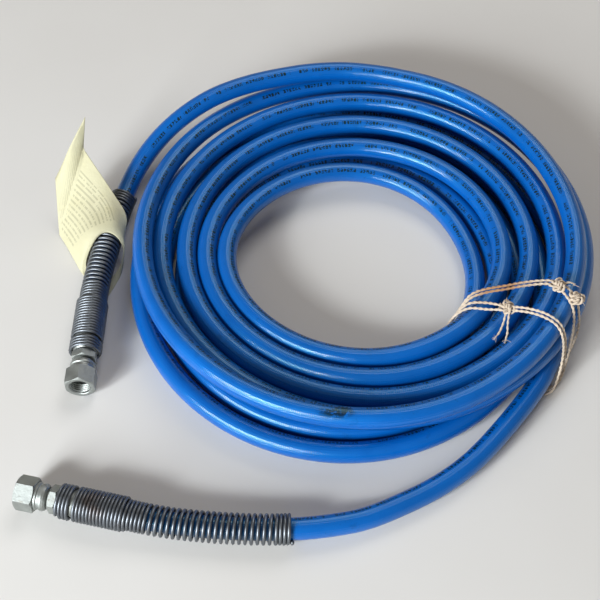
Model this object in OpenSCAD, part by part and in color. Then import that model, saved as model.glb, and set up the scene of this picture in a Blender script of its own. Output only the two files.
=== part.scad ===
// High-pressure paint hose for airless spraying: a blue hose wound in a coil and tied with
// twine. Each end has a crimped ferrule, a barbed stem, a swivel nut and a spring guard.
// Millimetres, +Z up. The coil lies on the plane z = 0, and the origin is under its middle.

/* [Hose] */
// Outer diameter of the hose
hose_d = 12.7; // [11.6:0.1:13.2]
// Bore of the core tube
hose_bore = 6.4; // [5.4:0.1:6.8]
// Wall of the core tube
core_wall = 1; // [0.7:0.1:1.2]
// Thickness of the braid round the core tube
braid_wall = 1.1; // [0.7:0.1:1.3]
// Play between the hose's layers, and between the hose and its ferrule
layer_gap = 0.05; // [0.03:0.01:0.1]

/* [Coil] */
// Clear gap between turns that lie side by side
turn_gap = 1.7; // [1.7:0.1:2]
// Clear gap between a layer and the one that it crosses
layer_rise_gap = 0.7; // [0.6:0.1:1]
// Share of a turn in which the hose climbs to the next layer
climb_share = 0.4; // [0.36:0.01:0.44]

/* [Ferrule and stem] */
// Wall of the crimped ferrule
ferrule_wall = 1.6; // [1.4:0.05:1.8]
// Length of the ferrule
ferrule_l = 33; // [30:0.5:36]
// Thickness of the ferrule's end wall
ferrule_end = 2; // [1.5:0.1:3]
// Bore through the stem
stem_bore = 4.6; // [3:0.1:5]
// Radial height of the stem's barbs
barb_h = 0.35; // [0.2:0.05:0.4]
// Size across flats of the stem's hexagon
stem_hex = 14.3; // [13:0.1:15.5]
// Length of the stem's hexagon
stem_hex_l = 4.6; // [4:0.1:6]
// Diameter of the stem's neck, which the nut turns on
neck_d = 9; // [8.4:0.1:9.6]
// Bare neck between the hexagon and the nut
neck_show = 1.5; // [1.5:0.1:4]

/* [Swivel nut] */
// Size across flats of the nut
nut_hex = 17.5; // [16.5:0.1:19]
// Length of the nut's hexagon
nut_hex_l = 11.2; // [10.6:0.1:14]
// Length of the crimped skirt behind the hexagon
skirt_l = 6.8; // [6.4:0.1:8]
// Outer diameter of the crimped skirt
skirt_d = 15.6; // [15.2:0.1:16.2]
// Bore of the thread, at its crests
thread_d = 12.5; // [12.1:0.1:12.9]
// Radial play between the nut's lip and the neck
swivel_play = 0.08; // [0.05:0.01:0.1]
// End play of the nut on the stem
swivel_end_play = 0.15; // [0.1:0.05:0.3]

/* [Spring guard] */
// Diameter of the guard's wire
wire_d = 1.6; // [1.2:0.1:1.8]
// Clear gap between close-wound curls
close_gap = 0.6; // [0.56:0.02:0.7]
// Pitch of the open curls
open_pitch = 3.3; // [2.6:0.1:3.6]
// Radial play of the guard round the ferrule
guard_fit = 0.55; // [0.5:0.05:0.8]
// Radial play of the guard round the hose
guard_slack = 0.95; // [0.9:0.05:1.2]
// Close curls over the ferrule
wide_curls = 17; // [15:1:17]
// Close curls on the hose next to the ferrule
tight_curls = 5; // [3:1:6]
// Open curls
open_curls = 22; // [16:1:23]
// Close curls at the free end
end_curls = 4; // [2:1:5]

/* [Twine and tag] */
// Diameter of the twine
twine_d = 1.8; // [1.2:0.1:1.8]
// Thickness of the paper tag
tag_t = 0.4; // [0.2:0.05:0.4]

/* [Hidden] */

HOSE_BLUE = [0.11, 0.36, 0.75];
CORE_WHITE = [0.86, 0.85, 0.80];
BRAID_GREY = [0.30, 0.31, 0.34];
ZINC = [0.66, 0.67, 0.66];
WIRE_GREY = [0.27, 0.28, 0.30];
TWINE_TAN = [0.80, 0.70, 0.56];
TAG_YELLOW = [0.96, 0.93, 0.68];

ROUND = 64;        // sides of the round parts, which are true circles
COIL_SIDES = 6;    // sides of the coil's tube
LEAD_SIDES = 8;    // sides of the tube where the hose isn't coiled
COIL_RINGS = 24;   // rings in one loop of the coil
CURL_RINGS = 8;    // rings in one curl of a guard
WIRE_SIDES = 4;    // sides of a guard's wire
TINY = 0.001;

// ---- heights ----
hose_sink = hose_d / 10;              // the coil is cut flat where it stands
floor_z = hose_d / 2 - hose_sink;     // centre of a hose that lies on the floor
layer_rise = hose_d + layer_rise_gap;
twine_room = 0.8;                     // play of the twine between the floor and the coil
tie_lift = twine_d + hose_sink + twine_room;

// ---- ferrule, stem and nut: distances along the fitting from the ferrule's mouth ----
ferrule_r = hose_d / 2 + layer_gap + ferrule_wall;
core_r = hose_bore / 2 + core_wall;
braid_r = core_r + layer_gap + braid_wall;
hose_end_gap = 0.2;     // between the hose's cut end and the ferrule's end wall
hose_end = ferrule_l - ferrule_end - hose_end_gap;
collar_r = core_r + 0.4;
shoulder_l = 1.4;       // round shoulder between the ferrule and the hexagon
hex_start = ferrule_l + shoulder_l;
hex_end = hex_start + stem_hex_l;
neck_r = neck_d / 2;
skirt_start = hex_end + neck_show;
lip_l = 2.2;            // the nut's lip, which the stem's head holds
head_start = skirt_start + lip_l + swivel_end_play;
head_r = neck_r + 1.3;
head_l = 2.8;
head_play = 0.25;       // radial play of the nut round the head
seat_angle = 30;        // slope of the cone that seals in the adapter
seat_tip_r = stem_bore / 2 + 0.6;
seat_l = (head_r - seat_tip_r) / tan(seat_angle);
seat_end = head_start + head_l + seat_l;
thread_start = seat_end + 0.3;
hex_nut_start = skirt_start + skirt_l;
nut_end = hex_nut_start + nut_hex_l;
mouth_chamfer = 0.6;
relief_r = thread_d / 2 + 0.35;     // groove behind the thread

// ---- guard ----
guard_wide_r = ferrule_r + guard_fit + wire_d / 2;
guard_tight_r = hose_d / 2 + guard_slack + wire_d / 2;
close_pitch = wire_d + close_gap;
guard_start = 0.9 - ferrule_l;
guard_curls = wide_curls + tight_curls + open_curls + end_curls;
wide_end = guard_start + wide_curls * close_pitch;
tight_end = wide_end + tight_curls * close_pitch;
open_end = tight_end + open_curls * open_pitch;
// curl number against distance along the hose from the ferrule's mouth
guard_run = [
    [0, guard_start], [wide_curls, wide_end], [wide_curls + tight_curls, tight_end],
    [guard_curls - end_curls, open_end], [guard_curls, open_end + end_curls * close_pitch]];

// ---- where the fittings lie: mouth of each ferrule, and heading of the nut ----
fitting_play = 0.15;      // under the lowest point of a fitting
guard_play = 0.1;         // under a guard's narrow part
fitting_z = max(guard_wide_r + wire_d / 2, nut_hex / sqrt(3)) + fitting_play;
guard_z = guard_tight_r + wire_d / 2 + guard_play;
A = 0;
B = 1;
mouth = [[-114, -163, fitting_z], [-143, -21, fitting_z]];
heading = [167, 269];

// ---- the coil: each layer is an oval that shrinks by one step a turn ----
// middle, half width and depth of the outermost turn, and how much wider a step is on the far side
floor_oval = [[17, 15], [141, 149], [0, 1.5]];
upper_oval = [[32, 31], [146, 150], [3.2, 7]];
top_oval = [[27, 35], [131, 136], [0, 0]];
turns_in = 4.3;             // turns from the outermost to the innermost in one layer
coil_start_az = -30;        // azimuth at which the hose enters the coil
coil_turns = 223 / 24;      // all the turns of the coil
tip_round = 0.12;           // rounding of the spiral where it reverses, in turns
top_lag = 0.1;              // the top turn moves in this long after the climb's middle
top_shift = 0.5;            // and takes this part of a turn to do so
tie_az = -34;               // azimuth of the twine ties
tie_reach = 55;             // the coil's lift over the twine dies out in this many degrees

function ease(t) = let (c = min(1, max(0, t))) c * c * (3 - 2 * c);
function soft(x) = sqrt(x * x + tip_round * tip_round);
function unit(v) = v / norm(v);
function mix(a, b, t) = a * (1 - t) + b * t;
function wrap180(a) = a - 360 * floor((a + 180) / 360);

function steps_in(s) =
    turns_in - soft(s - turns_in) + (soft(s - 2 * turns_in) + s - 2 * turns_in) / 2;

function oval_at(oval, steps, az) =
    let (spread = oval[2] / 2, step = hose_d + turn_gap)
    [oval[0][0] - spread[0] * steps + (oval[1][0] - (step + spread[0]) * steps) * cos(az),
     oval[0][1] - spread[1] * steps + (oval[1][1] - (step + spread[1]) * steps) * sin(az)];

function lift_at(az) =
    let (off = abs(wrap180(az - tie_az)))
    off < tie_reach ? tie_lift * pow(cos(90 * off / tie_reach), 2) : 0;

// centre of the hose after s turns of the coil
function coil_at(s) =
    let (az = coil_start_az + 360 * s,
         steps = steps_in(s),
         climb_1 = ease((s - turns_in) / climb_share + 0.5),
         climb_2 = ease((s - 2 * turns_in) / climb_share + 0.5),
         shift = ease((s - 2 * turns_in - top_lag) / top_shift),
         low = mix(oval_at(floor_oval, steps, az), oval_at(upper_oval, steps, az), climb_1),
         flat = mix(low, oval_at(top_oval, 0, az), shift))
    [flat[0], flat[1], floor_z + layer_rise * (climb_1 + climb_2) + lift_at(az)];

function coil_dir(s) = unit(coil_at(s + TINY) - coil_at(s - TINY));
coil_last = floor(coil_turns * COIL_RINGS);
coil_first_end = coil_at(0) - hose_d * coil_dir(0);
coil_last_s = coil_last / COIL_RINGS;
coil_last_end = coil_at(coil_last_s) + hose_d * coil_dir(coil_last_s);

// ---- routes of the two leads, from the ferrule's mouth to the coil ----
route_a = [
    [-89, -168, guard_z], [-65, -171, guard_z], [-41, -172.5, guard_z], [-18, -172.5, guard_z],
    [3, -170, floor_z + 2], [23, -165, floor_z], [44, -156, floor_z], [66, -144, floor_z],
    [86, -129, floor_z + 1], [104, -110, floor_z + 2.4], [121, -89, floor_z + 3.4]];
route_b = [
    [-142, 3, guard_z + 0.9], [-139, 28, guard_z + 0.9], [-136, 52, guard_z + 0.6],
    [-131, 75, guard_z + 1.2], [-123, 97, 14], [-110, 117, 21], [-93, 133, 28],
    [-73, 147, 32.4], [-51, 158, 33.6], [-28, 166, 33.6], [-4, 172, 33], [21, 174, 32.4]];
// the first and last point of each only give the curve its direction
before_mouth = 25;
route = [
    concat([mouth_point(A, before_mouth), mouth[A]], route_a, [coil_first_end, coil_at(0)]),
    concat([mouth_point(B, before_mouth), mouth[B]], route_b,
           [coil_last_end, coil_at(coil_last_s)])];

// a point on a fitting's axis, d outward from the ferrule's mouth
function mouth_point(end, d) = mouth[end] + d * [cos(heading[end]), sin(heading[end]), 0];

function blend4(a, b, c, d, t) =
    ((2 * b) + (c - a) * t + (2 * a - 5 * b + 4 * c - d) * t * t
     + (3 * b - a - 3 * c + d) * t * t * t) / 2;

// a smooth curve through all the points but the first and last, n steps a span
function spline(p, n) =
    [for (i = [1 : len(p) - 3], j = [0 : n - 1]) blend4(p[i - 1], p[i], p[i + 1], p[i + 2], j / n),
     p[len(p) - 2]];

function spline_loop(p, n) =
    let (m = len(p))
    [for (i = [0 : m - 1], j = [0 : n - 1])
        blend4(p[(i + m - 1) % m], p[i], p[(i + 1) % m], p[(i + 2) % m], j / n)];

function run_of(p, i = 0, sum = 0) =
    i >= len(p) ? [] : concat([sum], run_of(p, i + 1,
        i + 1 < len(p) ? sum + norm(p[i + 1] - p[i]) : sum));

LEAD_STEPS = 6;     // steps between two points of a lead, where a guard follows it
lead_line = [for (end = [A, B]) spline(route[end], LEAD_STEPS)];
lead_run = [for (end = [A, B]) run_of(lead_line[end])];
// distance along each lead against x, y and z
lead_table = [for (end = [A, B]) [for (axis = [0 : 2])
    [for (i = [0 : len(lead_line[end]) - 1]) [lead_run[end][i], lead_line[end][i][axis]]]]];

// the hose's centre at a distance d from the ferrule's mouth, negative inside the ferrule
function lead_at(end, d) = d < 0 ? mouth_point(end, -d)
    : [for (axis = [0 : 2]) lookup(d, lead_table[end][axis])];
LEAD_REACH = 6;     // the hose's direction is taken over this length to either side
function lead_dir(end, d) = unit(lead_at(end, d + LEAD_REACH) - lead_at(end, d - LEAD_REACH));

// ---- swept tubes ----
// one ring of a tube: its flat side is down, and no point is under the floor
function ring(centre, dir, r, sides) =
    let (side = unit(cross(dir, [0, 0, 1])), up = cross(side, dir))
    [for (j = [0 : sides - 1])
        let (a = 90 + 180 / sides + 360 * j / sides, p = centre + r * (cos(a) * side + sin(a) * up))
        [p[0], p[1], max(0, p[2])]];

function line_dir(p, i) =
    unit(p[min(i + 1, len(p) - 1)] - p[max(i - 1, 0)]);

function side_faces(rings, sides, last) = [
    for (i = [0 : last], j = [0 : sides - 1])
        let (a = i * sides + j, b = i * sides + (j + 1) % sides,
             c = ((i + 1) % rings) * sides + j, d = ((i + 1) % rings) * sides + (j + 1) % sides)
        each [[a, b, d], [a, d, c]]];

module skin(rings) {
    sides = len(rings[0]);
    n = len(rings);
    last = (n - 1) * sides;
    polyhedron(
        points = [for (r = rings) each r],
        faces = concat(
            side_faces(n, sides, n - 2),
            [for (j = [1 : sides - 2]) [0, j + 1, j]],
            [for (j = [1 : sides - 2]) [last, last + j, last + j + 1]]),
        convexity = 10);
}

module skin_loop(rings) {
    polyhedron(
        points = [for (r = rings) each r],
        faces = side_faces(len(rings), len(rings[0]), len(rings) - 1),
        convexity = 10);
}

// ---- hose ----
coil_points = concat(
    [coil_first_end],
    [for (i = [0 : coil_last]) coil_at(i / COIL_RINGS)],
    [coil_last_end]);

// least distance between points of a winding that are at least half a turn apart
function least_apart(p, turn) = min([
    for (i = [0 : len(p) - 1 - turn / 2])
        min([for (j = [i + turn / 2 : min(len(p) - 1, i + 5 * turn)]) norm(p[i] - p[j])])]);

module hose_coil() {
    n = len(coil_points);
    color(HOSE_BLUE)
        skin([for (i = [0 : n - 1])
            ring(coil_points[i],
                 i < 2 ? coil_dir(0) : i > n - 3 ? coil_dir(coil_last_s)
                     : coil_dir((i - 1) / COIL_RINGS),
                 hose_d / 2, COIL_SIDES)]);
    echo(hose_coil_least_gap_mm = least_apart(coil_points, COIL_RINGS) - hose_d);
}

module hose_lead(end) {
    line = spline(route[end], 1);
    n = len(line);
    join_dir = end == A ? coil_dir(0) : -coil_dir(coil_last_s);
    color(HOSE_BLUE)
        skin([for (i = [0 : n - 1])
            ring(line[i],
                 i == 0 ? mouth_point(end, -1) - mouth[end] : i == n - 1 ? join_dir
                     : line_dir(line, i),
                 hose_d / 2, LEAD_SIDES)]);
}

// ---- fittings: built along +Z from the ferrule's mouth, then laid down ----
module lay_fitting(end) {
    translate(mouth[end]) rotate([0, 0, heading[end]]) rotate([0, 90, 0]) children();
}

module pipe(outer_r, inner_r, length) {
    difference() {
        cylinder(r = outer_r, h = length, $fn = ROUND);
        translate([0, 0, -1]) cylinder(r = inner_r, h = length + 2, $fn = ROUND);
    }
}

module core_tube_end(end) {
    color(CORE_WHITE) lay_fitting(end) pipe(core_r, hose_bore / 2, hose_end);
}

module braid_end(end) {
    color(BRAID_GREY) lay_fitting(end) pipe(braid_r, core_r + layer_gap, hose_end);
}

module cover_end(end) {
    color(HOSE_BLUE) lay_fitting(end) pipe(hose_d / 2, braid_r + layer_gap, hose_end);
}

module ferrule(end) {
    crimps = 4;
    crimp_start = 4;
    crimp_l = 3.4;
    crimp_slope = 0.5;
    crimp_depth = 0.35;
    crimp_margin = 2;       // plain length between the last crimp and the ferrule's end
    crimp_pitch = (ferrule_l - crimp_start - crimp_margin) / crimps;
    lip = 0.8;
    end_chamfer = 1.5;
    outline = concat(
        [[0, 0], [ferrule_r - lip, 0], [ferrule_r, lip]],
        [for (i = [0 : crimps - 1])
            let (at = crimp_start + i * crimp_pitch)
            each [[ferrule_r, at], [ferrule_r - crimp_depth, at + crimp_slope],
                  [ferrule_r - crimp_depth, at + crimp_l - crimp_slope],
                  [ferrule_r, at + crimp_l]]],
        [[ferrule_r, ferrule_l - end_chamfer], [ferrule_r - end_chamfer, ferrule_l],
         [0, ferrule_l]]);
    color(ZINC) lay_fitting(end) difference() {
        rotate_extrude($fn = ROUND) polygon(outline);
        translate([0, 0, -1])
            cylinder(r = hose_d / 2 + layer_gap, h = ferrule_l - ferrule_end + 1, $fn = ROUND);
        cylinder(r = collar_r + layer_gap, h = ferrule_l + 1, $fn = ROUND);
    }
}

module stem(end) {
    insert_start = 1;
    insert_r = hose_bore / 2 - layer_gap;
    barb_pitch = 4;
    barb_slope = 0.3;
    barbs = floor((hose_end - insert_start) / barb_pitch - 0.5);
    shoulder_r = stem_hex / 2 - 0.2;
    shoulder_chamfer = 0.4;
    root = 0.5;         // the neck widens by this much where it meets the hexagon
    outline = concat(
        [[0, insert_start], [insert_r - barb_h, insert_start]],
        [for (i = [1 : barbs])
            each [[insert_r, insert_start + i * barb_pitch],
                  [insert_r - barb_h, insert_start + i * barb_pitch + barb_slope]]],
        [[insert_r - barb_h, hose_end + layer_gap], [collar_r, hose_end + layer_gap],
         [collar_r, ferrule_l + layer_gap],
         [shoulder_r - shoulder_chamfer, ferrule_l + layer_gap],
         [shoulder_r, ferrule_l + layer_gap + shoulder_chamfer], [shoulder_r, hex_start],
         [neck_r + root, hex_start], [neck_r + root, hex_end + root], [neck_r, hex_end + 2 * root],
         [neck_r, head_start], [head_r, head_start], [head_r, head_start + head_l],
         [seat_tip_r, seat_end], [0, seat_end]]);
    color(ZINC) lay_fitting(end) difference() {
        union() {
            rotate_extrude($fn = ROUND) polygon(outline);
            translate([0, 0, hex_start]) hexagon(stem_hex, stem_hex_l);
        }
        translate([0, 0, -1]) cylinder(d = stem_bore, h = seat_end + 2, $fn = ROUND);
    }
}

// a hexagon whose corners are turned back at both ends
module hexagon(across_flats, length) {
    corner_r = across_flats / sqrt(3);
    end_r = across_flats / 2 - 0.1;
    cut = (corner_r - end_r) * tan(30);
    intersection() {
        cylinder(r = corner_r, h = length, $fn = 6);
        rotate_extrude($fn = ROUND)
            polygon([[0, 0], [end_r, 0], [corner_r, cut], [corner_r, length - cut],
                     [end_r, length], [0, length]]);
    }
}

module swivel_nut(end) {
    lip_r = neck_r + swivel_play;
    skirt_r = skirt_d / 2;
    groove_r = skirt_r - 0.5;
    // the skirt's outline: distance from its start, and radius
    skirt_steps = [
        [0, skirt_r - 1.5], [0.9, groove_r], [2.2, skirt_r], [3.4, skirt_r],
        [3.9, groove_r], [4.9, groove_r], [5.5, skirt_r], [skirt_l + 1, skirt_r]];
    skirt = concat(
        [[0, skirt_start]],
        [for (step = skirt_steps) [step[1], skirt_start + step[0]]],
        [[0, hex_nut_start + 1]]);
    color(ZINC) lay_fitting(end) difference() {
        union() {
            rotate_extrude($fn = ROUND) polygon(skirt);
            translate([0, 0, hex_nut_start]) hexagon(nut_hex, nut_hex_l);
        }
        translate([0, 0, skirt_start - 1]) cylinder(r = lip_r, h = lip_l + 2, $fn = ROUND);
        translate([0, 0, skirt_start + lip_l])
            cylinder(r = head_r + head_play, h = thread_start - skirt_start - lip_l, $fn = ROUND);
        translate([0, 0, head_start + head_l])
            cylinder(r = relief_r, h = thread_start - head_start - head_l, $fn = ROUND);
        translate([0, 0, thread_start - TINY])
            cylinder(d = thread_d, h = nut_end - thread_start + 1, $fn = ROUND);
        translate([0, 0, nut_end - mouth_chamfer])
            cylinder(r1 = thread_d / 2, r2 = thread_d / 2 + 2 * mouth_chamfer,
                     h = 2 * mouth_chamfer, $fn = ROUND);
    }
}

// ---- spring guard ----
function curl_radius(t) = mix(guard_wide_r, guard_tight_r, ease(t - wide_curls + 0.5));

function curl_at(end, t) =
    let (d = lookup(t, guard_run), dir = lead_dir(end, d),
         side = unit(cross(dir, [0, 0, 1])), up = cross(side, dir))
    lead_at(end, d) + curl_radius(t) * (cos(360 * t) * side + sin(360 * t) * up);

// one ring of the wire, with a flat side toward the hose
function wire_ring(end, t) =
    let (d = lookup(t, guard_run), dir = lead_dir(end, d), centre = curl_at(end, t),
         out = unit(centre - lead_at(end, d)))
    [for (j = [0 : WIRE_SIDES - 1])
        let (a = -180 / WIRE_SIDES - 360 * j / WIRE_SIDES)
        centre + wire_d / 2 * (cos(a) * out + sin(a) * dir)];

module spring_guard(end) {
    last = guard_curls * CURL_RINGS;
    color(WIRE_GREY) skin([for (i = [0 : last]) wire_ring(end, i / CURL_RINGS)]);
    echo(guard_least_gap_mm = least_curl_gap([for (i = [0 : last]) curl_at(end, i / CURL_RINGS)]));
}

function least_curl_gap(p) = min([
    for (i = [0 : len(p) - 1 - CURL_RINGS], j = [CURL_RINGS - 2 : CURL_RINGS])
        norm(p[i + j] - p[i])]) - wire_d;

// ---- twine ----
// Each tie is two strands that go round the whole bundle, both ties side by side where they
// pass through the middle of the coil. From there: up, over the coil, down and back under it.
tie_route = [
    [[[77.6, -35.9, 9], [80.8, -38, 24.4], [89, -37, 31.4], [100, -39.5, 33.8], [111, -43, 37.6],
      [122, -47.5, 41.6], [131, -53, 43.8], [137.8, -58, 42.6], [142, -62, 36], [144.2, -64.6, 22],
      [142.8, -70.8, 9.5], [138.4, -77.6, 2.9], [130, -75, 1.1], [105, -55.6, 1.1], [83, -40.2, 1.1],
      [79.3, -37.7, 3]],
     [[78.9, -33.8, 9], [82.6, -35.8, 24.2], [89.5, -33.5, 31.6], [100, -35, 34.4], [110, -40.2, 38],
      [122, -45, 42], [132, -50.6, 44.2], [139.4, -56, 42.6], [143.4, -60, 36], [145.6, -62.4, 22],
      [145, -66.8, 9.5], [140.6, -74.2, 2.9], [131.6, -72.6, 1.1], [106.2, -53.4, 1.1],
      [84, -38, 1.1], [80.6, -35.6, 3]]],
    [[[80.4, -31.7, 9], [84.2, -33.6, 24], [90.5, -29.8, 31.8], [99, -28.4, 35.6], [111, -29, 40],
      [125, -29, 44], [137, -29.6, 45.6], [144, -35, 45], [149, -42.4, 41.6], [151, -46.2, 35],
      [151.6, -51, 22], [149, -60, 9.5], [143.2, -71, 2.9], [133.6, -70, 1.1],
      [107.4, -51.2, 1.1], [85.2, -35.8, 1.1], [82, -33.5, 3]],
     [[81.8, -29.6, 9], [85.4, -31, 24], [91, -27.2, 31.8], [99, -25.8, 35.6], [111, -26.4, 40],
      [125, -26.4, 44], [138, -27, 45.6], [147, -31, 44.4], [152.4, -37, 41], [154.4, -41, 35],
      [156.2, -44, 22], [154.2, -48, 9.5], [150.2, -51.4, 2.9], [142, -50, 1.1],
      [109, -43, 1.1], [86.4, -33.2, 1.1], [83.3, -31.4, 3]]]];
LOOP_STEPS = 3;     // steps between two points of a strand
TWINE_SIDES = 8;
ALONG_HOSE = [0.53, 0.848, 0.02];   // a way that no strand of a tie runs

// a ring square to the twine, turned the same way round from one ring to the next as long as
// the twine doesn't run along the way that is given
function twine_ring(centre, dir, way, d = twine_d) =
    let (side = unit(cross(dir, way)), up = cross(side, dir))
    [for (j = [0 : TWINE_SIDES - 1])
        let (a = 360 * j / TWINE_SIDES, p = centre + d / 2 * (cos(a) * side + sin(a) * up))
        [p[0], p[1], max(0, p[2])]];

module twine_loop(line, way) {
    n = len(line);
    skin_loop([for (i = [0 : n - 1])
        twine_ring(line[i], unit(line[(i + 1) % n] - line[(i + n - 1) % n]), way)]);
}

module twine_tie(n) {
    color(TWINE_TAN)
        for (strand = tie_route[n]) twine_loop(spline_loop(strand, LOOP_STEPS), ALONG_HOSE);
}

// each knot is a trefoil that the strands run through, and loose ends of the twine leave it
knot_place = [[111, -41.6, 38.4], [141.4, -31, 46.6], [151.4, -39.6, 44.6]];
knot_turn = [0, -20, 40];
knot_size = 1.35;
KNOT_RINGS = 36;
tail_d = 0.8 * twine_d;
// for each loose end: where on the knot it starts, in degrees, and the points that it runs on to
knot_tails = [
    [[165, [[108.5, -50, 33.8], [106, -55, 31.6], [103.4, -58, 30.6]]],
     [195, [[111, -51, 34.6], [110.6, -56, 31.8], [109, -60.4, 30.8]]]],
    [[60, [[148.5, -29.2, 46.8], [151.5, -29.6, 45.8]]]],
    []];

function knot_at(n, t) =
    let (x = sin(t) + 2 * sin(2 * t), y = cos(t) - 2 * cos(2 * t), turn = knot_turn[n])
    knot_place[n] + knot_size
        * [x * cos(turn) - y * sin(turn), x * sin(turn) + y * cos(turn), -sin(3 * t)];

module twine_tail(p) {
    n = len(p);
    skin([for (i = [0 : n - 1]) twine_ring(p[i], line_dir(p, i), [0, 0, 1], tail_d)]);
}

module twine_knot(n) {
    color(TWINE_TAN) {
        twine_loop([for (i = [0 : KNOT_RINGS - 1]) knot_at(n, 360 * i / KNOT_RINGS)], [0, 0, 1]);
        for (tail = knot_tails[n]) twine_tail(concat([knot_at(n, tail[0])], tail[1]));
    }
}

// ---- paper tag ----
// The bent sheet, in rows from the holed end to the free end, each from its left edge to its
// right. It passes under the guard at one end of its hole and over it at the other, and row 4
// is its crease.
tag_rows = [
    [[-137, -5, 0.2], [-133, 4, 0.2], [-129, 14, 0.3], [-126, 23, 1.5]],
    [[-153, 15, 0.2], [-151, 19, 1.5], [-129, 28, 9], [-125.4, 38, 13]],
    [[-160, 27, 0.3], [-149, 31, 17.5], [-135, 39, 21.5], [-126.5, 50, 19]],
    [[-166, 38, 0.4], [-155, 46, 17], [-142, 57, 24], [-132, 66, 27]],
    [[-173, 50, 0.6], [-167, 63, 15], [-160, 77, 29], [-153, 89, 41]],
    [[-175, 77, 26], [-169, 80, 37], [-161, 85, 50], [-149, 92, 66]]];
tag_size = [5, 3];          // the sheet in rows and columns
tag_hole = [1.03, 1.4];     // middle of the oval hole, in rows and columns
tag_hole_r = [0.8, 0.85];
tag_edge_steps = [14, 8];   // steps of the mesh along the sheet's sides and its ends
TAG_RINGS = 5;              // steps of the mesh from the hole to the edge

// a smooth curve through the points p, at t points along it
function spline_at(p, t) =
    let (last = len(p) - 1, i = min(floor(t), last - 1),
         before = i == 0 ? 2 * p[0] - p[1] : p[i - 1],
         after = i == last - 1 ? 2 * p[last] - p[last - 1] : p[i + 2])
    blend4(before, p[i], p[i + 1], after, t - i);

// the middle of the sheet's thickness, which the floor holds up where the curve would dip
function tag_at(place) =
    let (p = spline_at([for (row = tag_rows) spline_at(row, place[1])], place[0]))
    [p[0], p[1], max(tag_t / 2, p[2])];

function tag_normal(place) =
    let (step = 0.02, u = min(max(place[0], step), tag_size[0] - step),
         v = min(max(place[1], step), tag_size[1] - step))
    unit(cross(tag_at([u, v + step]) - tag_at([u, v - step]),
               tag_at([u + step, v]) - tag_at([u - step, v])));

// the sheet's edge, once round
tag_edge = concat(
    [for (i = [0 : tag_edge_steps[0] - 1]) [i / tag_edge_steps[0] * tag_size[0], 0]],
    [for (i = [0 : tag_edge_steps[1] - 1]) [tag_size[0], i / tag_edge_steps[1] * tag_size[1]]],
    [for (i = [0 : tag_edge_steps[0] - 1]) [(1 - i / tag_edge_steps[0]) * tag_size[0], tag_size[1]]],
    [for (i = [0 : tag_edge_steps[1] - 1]) [0, (1 - i / tag_edge_steps[1]) * tag_size[1]]]);

// the point of the hole's edge that faces a point of the sheet's edge
function tag_hole_edge(place) =
    let (off = place - tag_hole, a = atan2(off[1] / tag_hole_r[1], off[0] / tag_hole_r[0]))
    tag_hole + [tag_hole_r[0] * cos(a), tag_hole_r[1] * sin(a)];

module paper_tag() {
    n = len(tag_edge);
    places = [for (i = [0 : TAG_RINGS], k = [0 : n - 1])
        mix(tag_hole_edge(tag_edge[k]), tag_edge[k], i / TAG_RINGS)];
    size = len(places);
    outer = TAG_RINGS * n;
    color(TAG_YELLOW) polyhedron(
        points = [for (side = [1, -1], place = places)
            let (p = tag_at(place) + side * tag_t / 2 * tag_normal(place))
            [p[0], p[1], max(0, p[2])]],
        faces = concat(
            [for (i = [0 : TAG_RINGS - 1], k = [0 : n - 1])
                let (a = i * n + k, b = i * n + (k + 1) % n, c = a + n, d = b + n)
                each [[a, b, d], [a, d, c], [size + a, size + d, size + b],
                      [size + a, size + c, size + d]]],
            [for (k = [0 : n - 1])
                let (a = k, b = (k + 1) % n)
                each [[a, size + a, b], [b, size + a, size + b],
                      [outer + a, outer + b, size + outer + a],
                      [outer + b, size + outer + b, size + outer + a]]]),
        convexity = 6);
}

hose_coil();
hose_lead(A);  // hose_lead_a
hose_lead(B);  // hose_lead_b
core_tube_end(A);  // core_tube_end_a
braid_end(A);  // braid_end_a
cover_end(A);  // cover_end_a
ferrule(A);  // ferrule_a
stem(A);  // stem_a
swivel_nut(A);  // swivel_nut_a
spring_guard(A);  // spring_guard_a
core_tube_end(B);  // core_tube_end_b
braid_end(B);  // braid_end_b
cover_end(B);  // cover_end_b
ferrule(B);  // ferrule_b
stem(B);  // stem_b
swivel_nut(B);  // swivel_nut_b
spring_guard(B);  // spring_guard_b
twine_tie(0);  // twine_tie_1
twine_tie(1);  // twine_tie_2
twine_knot(0);  // twine_knot_1
twine_knot(1);  // twine_knot_2
twine_knot(2);  // twine_knot_3
paper_tag();
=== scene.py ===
"""Looks for a coiled high-pressure paint hose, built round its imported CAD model.

Sizes and routes are written in millimetres, as in the CAD source. Patterns, lamps and all that
Blender gets are in metres, in the CAD model's frame: +Z up, the coil lies on z = 0, and the camera
looks along +Y.
"""

import math

import bpy
import numpy as np
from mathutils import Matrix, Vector


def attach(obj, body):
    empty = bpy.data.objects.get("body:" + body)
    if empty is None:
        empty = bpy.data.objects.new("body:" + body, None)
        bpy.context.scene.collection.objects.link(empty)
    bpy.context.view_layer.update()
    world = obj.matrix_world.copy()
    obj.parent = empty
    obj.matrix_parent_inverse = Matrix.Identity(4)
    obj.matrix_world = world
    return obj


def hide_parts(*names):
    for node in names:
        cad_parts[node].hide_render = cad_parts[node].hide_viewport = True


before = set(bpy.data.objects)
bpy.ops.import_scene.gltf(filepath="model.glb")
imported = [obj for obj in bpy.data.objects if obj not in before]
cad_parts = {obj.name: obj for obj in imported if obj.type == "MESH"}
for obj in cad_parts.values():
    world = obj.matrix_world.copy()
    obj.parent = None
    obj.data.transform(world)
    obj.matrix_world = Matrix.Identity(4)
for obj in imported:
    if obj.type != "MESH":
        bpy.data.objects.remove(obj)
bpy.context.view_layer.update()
rng = np.random.default_rng(7)

MM = 0.001
UP = np.array([0.0, 0.0, 1.0])
TURN = 2 * math.pi

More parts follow.
